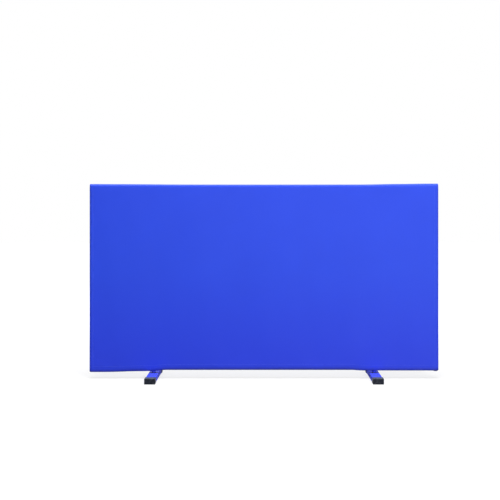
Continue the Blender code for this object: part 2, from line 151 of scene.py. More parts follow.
def close_and_turn_out(mesh: Mesh) -> Mesh:
    """Merges doubled points, so that poles and seams close, and turns the faces outwards.

    Args:
        mesh: the mesh, which is changed in place

    Returns:
        The same mesh.
    """
    shape = bmesh.new()
    shape.from_mesh(mesh)
    bmesh.ops.remove_doubles(shape, verts=shape.verts, dist=MERGE_DISTANCE)
    bmesh.ops.recalc_face_normals(shape, faces=shape.faces)
    shape.to_mesh(mesh)
    shape.free()
    mesh.shade_smooth()
    return mesh


def grid_mesh(
    name: str,
    points: np.ndarray,
    close_rows: bool = False,
    metres: tuple[np.ndarray, np.ndarray] | None = None,
) -> Mesh:
    """A smooth mesh of a grid of points.

    Args:
        name: the mesh's name
        points: rows by columns by 3, where the last point of a row joins its first
        close_rows: whether the last row joins the first
        metres: distances along a row and down the rows, one more than there are points where the
            grid closes, which become the UV map that cloth patterns follow

    Returns:
        The mesh.
    """
    rows, columns = points.shape[:2]
    mesh = bpy.data.meshes.new(name)
    quads = grid_quads(rows, columns, close_rows)
    mesh.from_pydata(points.reshape(-1, 3), [], quads)
    if metres is not None:
        along, down = metres
        r, c = quads[:, 0] // columns, quads[:, 0] % columns
        corners = [(along[c], down[r]), (along[c + 1], down[r])]
        corners += [(along[c + 1], down[r + 1]), (along[c], down[r + 1])]
        uv = np.stack([np.stack(corner, axis=-1) for corner in corners], axis=1)
        mesh.uv_layers.new(name=CLOTH_UV).data.foreach_set("uv", uv.astype(np.float32).ravel())
    return close_and_turn_out(mesh)


def unit(vectors: np.ndarray) -> np.ndarray:
    """Vectors of length 1."""
    return vectors / np.linalg.norm(vectors, axis=-1, keepdims=True)


def full_turn(steps: int) -> np.ndarray:
    """Angles once round in equal steps, without the last, which is the first again."""
    return np.linspace(0, math.tau, steps, endpoint=False)


def tube_points(
    path: np.ndarray, radius: np.ndarray, outward: np.ndarray, sides: int, closed: bool
) -> np.ndarray:
    """Circles round a path: each lies square to it, and its first point faces outwards.

    Args:
        path: points by 3
        radius: the circles' radius at each point
        outward: a direction at each point, not along the path
        sides: how many points a circle has
        closed: whether the path's end joins its start

    Returns:
        Points by sides by 3.
    """
    run = np.roll(path, -1, 0) - np.roll(path, 1, 0) if closed else np.gradient(path, axis=0)
    across = unit(np.cross(run, outward))
    out = unit(np.cross(across, run))
    angle = full_turn(sides)[None, :, None]
    reach = radius[:, None, None]
    return path[:, None] + reach * (out[:, None] * np.cos(angle) + across[:, None] * np.sin(angle))


def turned_points(profile: np.ndarray, centre: np.ndarray, sides: int) -> np.ndarray:
    """A profile turned about an upright axis: x is a radius times a cosine, and y times the sine.

    Args:
        profile: rows of radius and height
        centre: the point of the axis that heights are measured from
        sides: how many points a ring has

    Returns:
        Rows by sides by 3.
    """
    angle = full_turn(sides)
    radius, height = profile[:, :1], profile[:, 1:]
    x, y = radius * np.cos(angle), radius * np.sin(angle)
    return np.stack([x, y, np.broadcast_to(height, x.shape)], axis=-1) + centre


def add_piece(name: str, mesh: Mesh, body: str, finish: Material) -> Object:
    """Adds a piece that rides on a body.

    Args:
        name: the piece's name
        mesh: its mesh, in place
        body: the CAD body that carries it
        finish: its material

    Returns:
        The piece.
    """
    piece = bpy.data.objects.new(name, mesh)
    bpy.context.scene.collection.objects.link(piece)
    mesh.materials.append(finish)
    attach(piece, body)
    LOG.info("%s rides on %s with %d faces", name, body, len(mesh.polygons))
    return piece


def dress_nodes(finish: Material, *nodes: str) -> None:
    """Gives CAD nodes their finish.

    Args:
        finish: the material
        nodes: the nodes' names
    """
    for node in nodes:
        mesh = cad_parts[node].data
        mesh.materials.clear()
        mesh.materials.append(finish)


def to_linear(hex_colour: str) -> tuple[float, ...]:
    """A colour in linear light, by the sRGB curve: straight near black, and a power above that.

    Args:
        hex_colour: the colour's sRGB hex value

    Returns:
        Red, green, blue and alpha.
    """
    shares = np.array([int(hex_colour[i : i + 2], 16) for i in (1, 3, 5)]) / 255
    lit = np.where(shares <= 0.04045, shares / 12.92, ((shares + 0.055) / 1.055) ** 2.4)
    return (*lit.tolist(), 1.0)


def add_node(
    tree: NodeTree,
    kind: str,
    inputs: dict[Any, Any] | None = None,
    out: int | str = 0,
    **settings: Any,
) -> NodeSocket:
    """Adds a shader node.

    Args:
        tree: the node tree
        kind: the node's type, without its prefix
        inputs: for each input's name or number, the socket that feeds it or its value
        out: the name or number of the output that is wanted
        settings: the node's own properties

    Returns:
        That output.
    """
    node = tree.nodes.new("ShaderNode" + kind)
    for name, value in settings.items():
        setattr(node, name, value)
    for key, value in (inputs or {}).items():
        if isinstance(value, NodeSocket):
            tree.links.new(value, node.inputs[key])
        else:
            node.inputs[key].default_value = value
    return node.outputs[out]


# A Mix node's numbers for its factor, its two colours and its colour out.
MIX_FACTOR, MIX_FIRST, MIX_SECOND, MIX_OUT = 0, 6, 7, 2
# Most of a Noise node's values lie between these.
NOISE_LOW, NOISE_HIGH = 0.3, 0.7
# How many finer layers of lumps each kind of noise holds.
GRAIN_DETAIL, MOTTLE_DETAIL, SCUFF_DETAIL = 1, 2, 6
WHITE = (1.0, 1.0, 1.0, 1.0)


@dataclass(frozen=True)
class Finish:
    """A surface: what its real material is called, and the values that it starts from."""

    name: str
    colour: str
    shade: str
    roughness: float
    roughness_spread: float
    metallic: float = 0.0
    specular: float = 0.5
    ior: float = 1.5
    mottle_size: float = 60 * MM
    grain_size: float = 1 * MM
    grain_depth: float = 0.02 * MM

    def material(self) -> Material:
        """Makes the finish's material.

        Returns:
            The material.
        """
        made = bpy.data.materials.new(self.name)
        made.use_nodes = True
        shader = made.node_tree.nodes["Principled BSDF"]
        shader.inputs["Metallic"].default_value = self.metallic
        shader.inputs["Specular IOR Level"].default_value = self.specular
        shader.inputs["IOR"].default_value = self.ior
        made.diffuse_color = to_linear(self.colour)
        self.dress(made.node_tree, shader)
        return made

    def place(self, tree: NodeTree) -> NodeSocket:
        """Where a pattern is read: the object's own coordinates, in metres."""
        return add_node(tree, "TexCoord", out="Object")

    def dress(self, tree: NodeTree, shader: Node) -> None:
        """Gives the shader its colour, roughness and relief: a slow mottle and a fine grain.

        Args:
            tree: the material's nodes
            shader: its surface
        """
        place = self.place(tree)
        inputs = {"Vector": place, "Scale": 1 / self.mottle_size, "Detail": MOTTLE_DETAIL}
        mottle = add_node(tree, "TexNoise", inputs)
        inputs = {"Value": mottle, "From Min": NOISE_LOW, "From Max": NOISE_HIGH}
        colours = {MIX_FIRST: to_linear(self.shade), MIX_SECOND: to_linear(self.colour)}
        colours[MIX_FACTOR] = add_node(tree, "MapRange", inputs)
        colour = add_node(tree, "Mix", colours, MIX_OUT, data_type="RGBA")
        tree.links.new(colour, shader.inputs["Base Color"])
        half = self.roughness_spread / 2
        inputs |= {"To Min": self.roughness + half, "To Max": self.roughness - half}
        tree.links.new(add_node(tree, "MapRange", inputs), shader.inputs["Roughness"])
        inputs = {"Vector": place, "Scale": 1 / self.grain_size, "Detail": GRAIN_DETAIL}
        grain = add_node(tree, "TexNoise", inputs)
        bump = add_node(tree, "Bump", {"Height": grain, "Distance": self.grain_depth})
        tree.links.new(bump, shader.inputs["Normal"])

    def lay_over(
        self,
        tree: NodeTree,
        shader: Node,
        value: NodeSocket,
        span: tuple[float, float],
        share: float,
        colour: str,
    ) -> None:
        """Lays a colour over the surface's own, and more of it as a value rises through a range.

        Args:
            tree: the material's nodes
            shader: its surface
            value: the value at each point
            span: the values at which the colour starts to show and shows most
            share: how much of it shows at the most
            colour: the colour
        """
        surface = shader.inputs["Base Color"]
        colours = {MIX_FIRST: surface.links[0].from_socket, MIX_SECOND: to_linear(colour)}
        inputs = {"Value": value, "From Min": span[0], "From Max": span[1], "To Max": share}
        colours[MIX_FACTOR] = add_node(tree, "MapRange", inputs)
        tree.links.new(add_node(tree, "Mix", colours, MIX_OUT, data_type="RGBA"), surface)


@dataclass(frozen=True)
class PowderCoat(Finish):
    """Polyester powder coat, sprayed and baked on steel tube: a satin skin with orange peel."""

    specular: float = 0.03


@dataclass(frozen=True)
class WovenCloth(Finish):
    """Plain woven polyester with a thin coating: smooth, and a little satin in raking light.

    The threads are drawn twice as coarse as the 0.45 mm of such cloth, so that they show. Sewing
    gathers the cloth beside its seams into short puckers that run across them. The blue is
    darkened towards the hem as painted shade.
    """

    hem_painted_shade_colour: str = "#1E2890"
    painted_low_shade_colour: str = "#263AD2"
    painted_low_shade_range: tuple[float, float] = (340 * MM, 750 * MM)
    weft_colour: str = "#1F3CC0"
    weft_share: float = 0.35
    thread_spacing: float = 0.9 * MM
    thread_relief: float = 0.14 * MM
    weave_strength: float = 0.8
    pucker_width: float = 11 * MM
    pucker_length: float = 45 * MM
    pucker_relief: float = 1.1 * MM
    pucker_strength: float = 0.5
    sheen: float = 0.02
    sheen_roughness: float = 0.45
    specular: float = 0.17

    def place(self, tree: NodeTree) -> NodeSocket:
        """Where a pattern is read: distances along the cloth, in metres."""
        return add_node(tree, "UVMap", uv_map=CLOTH_UV)

    def weave(self, tree: NodeTree) -> NodeSocket:
        """The sine across the warp times the sine across the weft: every other thread is up.

        Args:
            tree: the material's nodes

        Returns:
            The threads' height, from -1 to 1.
        """
        inputs = {0: self.place(tree), "Scale": math.pi / self.thread_spacing}
        phase = add_node(tree, "VectorMath", inputs, operation="SCALE")
        waves = add_node(tree, "VectorMath", {0: phase}, operation="SINE")
        warp = add_node(tree, "SeparateXYZ", {0: waves}, "X")
        inputs = {0: warp, 1: warp.node.outputs["Y"]}
        return add_node(tree, "Math", inputs, operation="MULTIPLY")

    def puckers(self, tree: NodeTree, marks: Node) -> NodeSocket:
        """Noise drawn out across each kind of seam, times how near that seam is.

        Args:
            tree: the material's nodes
            marks: a node whose X and Y say how near the hem's seam and a side seam are

        Returns:
            The puckers' height.
        """
        narrow, long = 1 / self.pucker_width, 1 / self.pucker_length
        height: Any = 0.0
        for axis, scale in (("X", (narrow, long, 1)), ("Y", (long, narrow, 1))):
            drawn = add_node(tree, "Mapping", {"Vector": self.place(tree), "Scale": scale})
            inputs = {"Vector": drawn, "Scale": 1, "Detail": GRAIN_DETAIL}
            inputs = {0: add_node(tree, "TexNoise", inputs), 1: marks.outputs[axis], 2: height}
            height = add_node(tree, "Math", inputs, operation="MULTIPLY_ADD")
        return height

    def dress(self, tree: NodeTree, shader: Node) -> None:
        """Adds painted shade down the cloth, the weave, the puckers and painted shade at the hem's
        foot.

        The mesh's marks say how near the hem's seam, a side seam and the hem's foot are, the last
        setting the painted shade there, and its UV map's second number is the distance down the
        cloth.

        Args:
            tree: the material's nodes
            shader: its surface
        """
        super().dress(tree, shader)
        vector = add_node(tree, "Attribute", out="Vector", attribute_name=SEAM_AND_SHADE_MARKS)
        marks = add_node(tree, "SeparateXYZ", {0: vector}).node
        down = add_node(tree, "SeparateXYZ", {0: self.place(tree)}, "Y")
        # Painted shade: the blue darkens down the cloth towards the hem, where less light reaches.
        self.lay_over(tree, shader, down, self.painted_low_shade_range, 1, self.painted_low_shade_colour)
        weave = self.weave(tree)
        self.lay_over(tree, shader, weave, (-1, 1), self.weft_share, self.weft_colour)
        # Painted shade: the foot of the hem is darkened as the shade under the fold would darken
        # it.
        self.lay_over(tree, shader, marks.outputs["Z"], (0, 1), 1, self.hem_painted_shade_colour)
        normal = shader.inputs["Normal"].links[0].from_socket
        reliefs = [
            (self.puckers(tree, marks), self.pucker_relief, self.pucker_strength),
            (weave, self.thread_relief, self.weave_strength),
        ]
        for height, relief, strength in reliefs:
            inputs = {"Height": height, "Distance": relief, "Strength": strength, "Normal": normal}
            normal = add_node(tree, "Bump", inputs)
        tree.links.new(normal, shader.inputs["Normal"])
        shader.inputs["Sheen Weight"].default_value = self.sheen
        shader.inputs["Sheen Roughness"].default_value = self.sheen_roughness


@dataclass(frozen=True)
class MouldedPlastic(Finish):
    """Injection-moulded plastic: a spark-eroded grain, pale scuffs, and on what faces up a pale
    dusting and painted highlight.
    """

    scuff: str = "#4A4E58"
    scuff_size: float = 9 * MM
    scuff_range: tuple[float, float] = (0.55, 0.75)
    scuff_share: float = 0.4
    dust: str = "#8A939C"
    dust_range: tuple[float, float] = (0.1, 0.6)
    dust_share: float = 0.24
    specular: float = 0.1

    def dress(self, tree: NodeTree, shader: Node) -> None:
        """Adds scuffs where a noise is high, and a pale dusting and painted highlight by that noise
        times how far a face looks up.

        Args:
            tree: the material's nodes
            shader: its surface
        """
        super().dress(tree, shader)
        inputs = {"Vector": self.place(tree), "Scale": 1 / self.scuff_size, "Detail": SCUFF_DETAIL}
        lumps = add_node(tree, "TexNoise", inputs)
        facing = add_node(tree, "TexCoord", out="Normal")
        upwards = add_node(tree, "SeparateXYZ", {0: facing}, "Z")
        dusted_and_lit = add_node(tree, "Math", {0: upwards, 1: lumps}, operation="MULTIPLY")
        self.lay_over(tree, shader, lumps, self.scuff_range, self.scuff_share, self.scuff)
        # Pale dusting and painted highlight: what faces up is lightened as the overhead light
        # lights it.
        self.lay_over(tree, shader, dusted_and_lit, self.dust_range, self.dust_share, self.dust)


@dataclass(frozen=True)
class Finishes:
    """The materials of the barrier, each made once."""

    paint: Material
    cloth: Material
    thread: Material
    black: Material
    zinc: Material

    @classmethod
    def make(cls) -> Finishes:
        """Makes the barrier's materials.

        Returns:
            All of them.
        """
        # Powder baked on steel: a satin skin whose slight orange peel blurs the lamps.
        paint = PowderCoat(
            "polyester_powder_coat",
            colour="#4350DC",
            shade="#3D4AD2",
            roughness=0.58,
            roughness_spread=0.08,
            grain_size=1.6 * MM,
            grain_depth=0.05 * MM,
        )
        # Coated weave: an even blue, nearly matt, with a faint grid of threads from close by;
        # painted shade darkens it towards the hem.
        cloth = WovenCloth(
            "coated_polyester_plain_weave",
            colour="#2747D9",
            shade="#2645D5",
            roughness=0.42,
            roughness_spread=0.03,
            mottle_size=230 * MM,
            grain_size=14 * MM,
            grain_depth=0.1 * MM,
        )
        # Spun thread: a little paler than the cloth, so that the seams show as fine light lines.
        thread = Finish(
            "spun_polyester_thread",
            colour="#5068E8",
            shade="#3E54D4",
            roughness=0.5,
            roughness_spread=0.1,
            mottle_size=5 * MM,
            grain_size=0.3 * MM,
            grain_depth=0.05 * MM,
        )
        # Moulded polyethylene: a dull, fine-grained black with pale scuffs, and a pale dusting and
        # painted highlight on its tops.
        black = MouldedPlastic(
            "moulded_black_polyethylene",
            colour="#1B1F2A",
            shade="#151922",
            roughness=0.45,
            roughness_spread=0.1,
            grain_size=0.5 * MM,
            grain_depth=0.03 * MM,
        )
        # Zinc plate: a light, bright metal, whose uneven polish blurs what it mirrors.
        zinc = Finish(
            "bright_zinc_plate",
            colour="#CFCFD1",
            shade="#B9BABD",
            roughness=0.3,
            roughness_spread=0.14,
            metallic=1.0,
            mottle_size=2 * MM,
            grain_size=0.25 * MM,
            grain_depth=0.01 * MM,
        )
        return cls(*(f.material() for f in (paint, cloth, thread, black, zinc)))


@dataclass
class TubeFrame:
    """The welded frame: its tubes are CAD nodes, and its weld beads are made here."""

    finishes: Finishes
    bead_radius: float = 1.1 * MM
    bead_proud: float = 0.25 * MM
    bead_proud_inside: float = 1.2 * MM
    ripple_spacing: float = 1.7 * MM
    ripple_share: float = 0.09
    bead_steps: int = 160
    bead_sides: int = 12

    def __post_init__(self) -> None:
        """Reads the tubes' sizes from the frame."""
        self.top_rail = Extent.of("top_rail")
        self.bottom_rail = Extent.of("bottom_rail")
        self.tube_radius = self.top_rail.size[2] / 2
        self.rail_radius = self.bottom_rail.size[2] / 2
        self.turn = full_turn(self.bead_steps)

    def build(self) -> None:
        """Dresses the tubes, plugs and washers, and adds the beads."""
        dress_nodes(self.finishes.paint, "top_rail", "bottom_rail")
        for side in Side:
            word = side.word
            dress_nodes(self.finishes.paint, f"{word}_upright", f"{word}_pivot_boss")
            dress_nodes(self.finishes.black, f"{word}_upright_plug", f"{word}_saddle_washer")
            self.add_bead(f"{word}_corner_weld", *self.corner_line(side))
            self.add_bead(f"{word}_rail_weld", *self.rail_line(side))
            self.add_bead(f"{word}_boss_weld", *self.boss_line(side))

    def corner_line(self, side: Side) -> tuple[np.ndarray, np.ndarray, np.ndarray]:
        """The mitre of a top corner: an ellipse, root 2 times as long as the tube is wide.

        It is ground nearly flush outside, where the cover lies on it, and stands up inside.

        Args:
            side: the end of the barrier

        Returns:
            The line, the direction out of the metal, and how proud the bead stands, at each step.
        """
        upright = Extent.of(f"{side.word}_upright").centre[0]
        corner = np.array([upright, 0, self.top_rail.centre[2]])
        long_axis = np.array([side.value, 0, 1])
        short_axis = np.array([0, 1, 0])
        cos, sin = np.cos(self.turn)[:, None], np.sin(self.turn)[:, None]
        line = corner + self.tube_radius * (long_axis * cos + short_axis * sin)
        inside = eased(-np.cos(self.turn))
        proud = self.bead_proud + (self.bead_proud_inside - self.bead_proud) * inside
        return line, line - corner, proud

    def rail_line(self, side: Side) -> tuple[np.ndarray, np.ndarray, np.ndarray]:
        """Where the bottom rail meets an upright: the rail's circle, pressed onto the upright.

        Its depth into the upright follows the upright's circle, down to where the rail ends.

        Args:
            side: the end of the barrier

        Returns:
            The same three as a corner's line.
        """
        upright = Extent.of(f"{side.word}_upright").centre[0]
        rail_end = abs(self.bottom_rail.high[0])
        y = self.rail_radius * np.cos(self.turn)
        z = self.rail_radius * np.sin(self.turn)
        least = abs(upright) - rail_end
        reach = np.sqrt(np.maximum(self.tube_radius**2 - y**2, least**2))
        line = np.stack([upright - side.value * reach, y, z + self.bottom_rail.centre[2]], axis=-1)
        outward = np.stack([np.full_like(y, -side.value * self.rail_radius), y, z], axis=-1)
        return line, outward, np.full_like(y, self.bead_proud_inside)

    def boss_line(self, side: Side) -> tuple[np.ndarray, np.ndarray, np.ndarray]:
        """Where a pivot boss meets the bottom rail: the boss's circle, laid on the rail's.

        Args:
            side: the end of the barrier

        Returns:
            The same three as a corner's line.
        """
        boss = Extent.of(f"{side.word}_pivot_boss")
        radius = boss.size[0] / 2
        x, y = radius * np.cos(self.turn), radius * np.sin(self.turn)
        z = -np.sqrt(self.rail_radius**2 - y**2)
        line = np.stack([boss.centre[0] + x, y, self.bottom_rail.centre[2] + z], axis=-1)
        outward = np.stack([x, y, z / 2], axis=-1)
        return line, outward, np.full_like(x, self.bead_radius / 2)

    def add_bead(
        self, name: str, line: np.ndarray, outward: np.ndarray, proud: np.ndarray
    ) -> None:
        """A weld bead: a tube sunk into the joint's line, whose radius ripples as a sine along it.

        Args:
            name: the bead's name
            line: the joint's line, a point a step
            outward: the direction out of the metal at each step
            proud: how proud the bead stands at each step
        """
        length = np.linalg.norm(np.roll(line, -1, 0) - line, axis=1).sum()
        ripples = round(length / self.ripple_spacing)
        radius = self.bead_radius * (1 + self.ripple_share * np.sin(ripples * self.turn))
        sunk = line - unit(outward) * (radius - proud)[:, None]
        points = tube_points(sunk, radius, outward, self.bead_sides, closed=True)
        mesh = grid_mesh(name, points, close_rows=True)
        add_piece(name, mesh, "frame", self.finishes.paint)


@dataclass
class Foot:
    """A foot: its tube, caps and washer are CAD nodes, and its threaded bolt is made here."""

    side: Side
    finishes: Finishes
    bolt_radius: float = 3 * MM
    thread_pitch: float = 1 * MM
    thread_depth: float = 0.55 * MM
    thread_run_out: float = 2 * MM
    threaded_length: float = 16 * MM
    thread_rows: int = 8
    neck_length: float = 1.5 * MM
    head_height: float = 3.3 * MM
    head_rim: float = 0.8 * MM
    tip_chamfer: float = 0.6 * MM
    dome_rows: int = 10
    bolt_sides: int = 48

    def build(self) -> None:
        """Dresses the foot's nodes and adds its bolt."""
        word = self.side.word
        dress_nodes(self.finishes.paint, f"{word}_foot_tube")
        moulded = (f"{word}_{part}" for part in ("front_cap", "rear_cap", "pivot_washer"))
        dress_nodes(self.finishes.black, *moulded)
        node = f"{word}_bolt"
        mesh = grid_mesh(f"{node}_turned", self.bolt_points(Extent.of(node)))
        bolt = add_piece(f"{node}_turned", mesh, f"{word}_foot", self.finishes.zinc)
        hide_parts(node)

    def bolt_points(self, extent: Extent) -> np.ndarray:
        """The bolt from tip to head: thread, plain shank, square neck and domed head.

        The thread's depth is a triangle wave of height over pitch less the angle's share of a
        turn. The neck's radius is that of a square: its half side over the larger of the angle's
        cosine and sine.

        Args:
            extent: the CAD bolt's box

        Returns:
            Rows by sides by 3.
        """
        tip, foot = extent.high[2], extent.low[2]
        head_top = foot + self.head_height
        thread_end = tip - self.threaded_length
        rows = round(self.threaded_length / self.thread_pitch * self.thread_rows)
        angle = full_turn(self.bolt_sides)[None, :]
        height = np.linspace(tip, thread_end, rows)[:, None]
        wave = (height - tip) / self.thread_pitch - angle / math.tau
        groove = np.abs(2 * (wave % 1) - 1) * self.thread_depth
        run_out = eased((height - thread_end) / self.thread_run_out)
        chamfer = np.clip(self.tip_chamfer - (tip - height), 0, None)
        thread = self.bolt_radius - groove * run_out - chamfer
        square = self.bolt_radius / np.maximum(np.abs(np.cos(angle)), np.abs(np.sin(angle)))
        plain = np.full_like(angle, self.bolt_radius)
        head = np.full_like(angle, extent.size[0] / 2)
        fall = np.linspace(0, math.pi / 2, self.dome_rows)[:, None]
        neck_top = head_top + self.neck_length
        rings = [
            (np.zeros_like(angle), tip),
            (thread, height),
            (plain, neck_top),
            (square, neck_top),
            (square, head_top),
            (head, head_top),
            (head * np.cos(fall), head_top - self.head_rim - self.dome(fall)),
        ]
        radius = np.concatenate([ring for ring, _ in rings])
        heights = [np.broadcast_to(z, ring.shape) for ring, z in rings]
        x = extent.centre[0] + radius * np.cos(angle)
        y = radius * np.sin(angle)
        return np.stack([x, y, np.concatenate(heights)], axis=-1)

    def dome(self, fall: np.ndarray) -> np.ndarray:
        """How far the head's dome has dropped below its rim at an angle."""
        return (self.head_height - self.head_rim) * np.sin(fall)


@dataclass
class WingNut:
    """A cast wing nut: a hub and two wings whose joins are filleted, as a casting's are."""

    side: Side
    finishes: Finishes
    turn_degrees: float
    hub_base_radius: float = 5.75 * MM
    hub_top_radius: float = 4.75 * MM
    hub_height: float = 6.5 * MM
    bore_radius: float = 3.3 * MM
    hub_edge: float = 0.5 * MM
    root_reach: float = 3.6 * MM
    root_height: float = 3.2 * MM
    lobe_reach: float = 8.2 * MM
    lobe_height: float = 8.6 * MM
    lobe_radius: float = 3.8 * MM
    root_half_width: float = 2.4 * MM
    root_half_thickness: float = 1.5 * MM
    lobe_half_thickness: float = 1.1 * MM
    squareness: float = 0.6
    casting_voxel: float = 0.28 * MM
    fillet_rounds: int = 5
    wing_rows: int = 40
    sides: int = 32

    def build(self) -> None:
        """Joins hub and wings into one skin, and smooths it as a casting is."""
        node = f"{self.side.word}_wing_nut"
        extent = Extent.of(node)
        centre = np.array([extent.centre[0], 0, extent.low[2]])
        parts = [(turned_points(self.hub_profile(), centre, self.sides), True)]
        parts += [(self.wing_points(centre, half_turn), False) for half_turn in (-90, 90)]
        shape = bmesh.new()
        for points, ring in parts:
            shape.from_mesh(grid_mesh(f"{node}_part", points, close_rows=ring))
        mesh = bpy.data.meshes.new(f"{node}_cast")
        shape.to_mesh(mesh)
        shape.free()
        nut = add_piece(f"{node}_cast", mesh, node, self.finishes.zinc)
        skin = nut.modifiers.new("Skin", "REMESH")
        skin.mode = "VOXEL"
        skin.voxel_size = self.casting_voxel
        skin.use_smooth_shade = True
        fillet = nut.modifiers.new("Fillet", "SMOOTH")
        fillet.iterations = self.fillet_rounds
        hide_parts(node)

    def hub_profile(self) -> np.ndarray:
        """The hub's section, from the bore's foot round its outside and back down the bore.

        Returns:
            Rows of radius and height.
        """
        e = self.hub_edge
        return np.array(
            [
                (self.bore_radius, 0),
                (self.hub_base_radius - e, 0),
                (self.hub_base_radius, e),
                (self.hub_top_radius, self.hub_height - e),
                (self.hub_top_radius - e, self.hub_height),
                (self.bore_radius + e, self.hub_height),
                (self.bore_radius, self.hub_height - e),
            ]
        )

    def wing_points(self, centre: np.ndarray, half_turn: float) -> np.ndarray:
        """A wing: squared ovals along a straight line from inside the hub to the lobe's tip.

        Each oval's half width grows from the root to the lobe, and then falls as a circle does.

        Args:
            centre: the middle of the nut's foot
            half_turn: which way the wing points before the nut is turned, in degrees from +X

        Returns:
            Rows by sides by 3.
        """
        root = np.array([self.root_reach, self.root_height])
        lobe = np.array([self.lobe_reach, self.lobe_height])
        run = lobe - root
        direction = run / np.linalg.norm(run)
        past_lobe = np.sin(np.linspace(0, math.pi / 2, self.wing_rows // 2))
        before = np.linspace(0, 1, self.wing_rows // 2, endpoint=False)
        beyond = direction * self.lobe_radius * past_lobe[:, None]
        line = np.concatenate([root + run * before[:, None], lobe + beyond])
        grown = self.root_half_width + (self.lobe_radius - self.root_half_width) * eased(before)
        width = np.concatenate([grown, self.lobe_radius * np.sqrt(1 - past_lobe**2)])
        thinning = self.root_half_thickness - self.lobe_half_thickness
        thinned = self.root_half_thickness - thinning * eased(before)
        thickness = np.concatenate([thinned, self.lobe_half_thickness * np.sqrt(1 - past_lobe**4)])
        width[0] = thickness[0] = 0
        angle = full_turn(self.sides)
        cos, sin = np.cos(angle), np.sin(angle)
        wide = np.sign(cos) * np.abs(cos) ** self.squareness * width[:, None]
        thick = np.sign(sin) * np.abs(sin) ** self.squareness * thickness[:, None]
        reach = line[:, :1] - direction[1] * wide
        height = line[:, 1:] + direction[0] * wide
        heading = math.radians(half_turn + self.turn_degrees)
        x = reach * math.cos(heading) - thick * math.sin(heading)
        y = reach * math.sin(heading) + thick * math.cos(heading)
        return centre + np.stack([x, y, height], axis=-1)


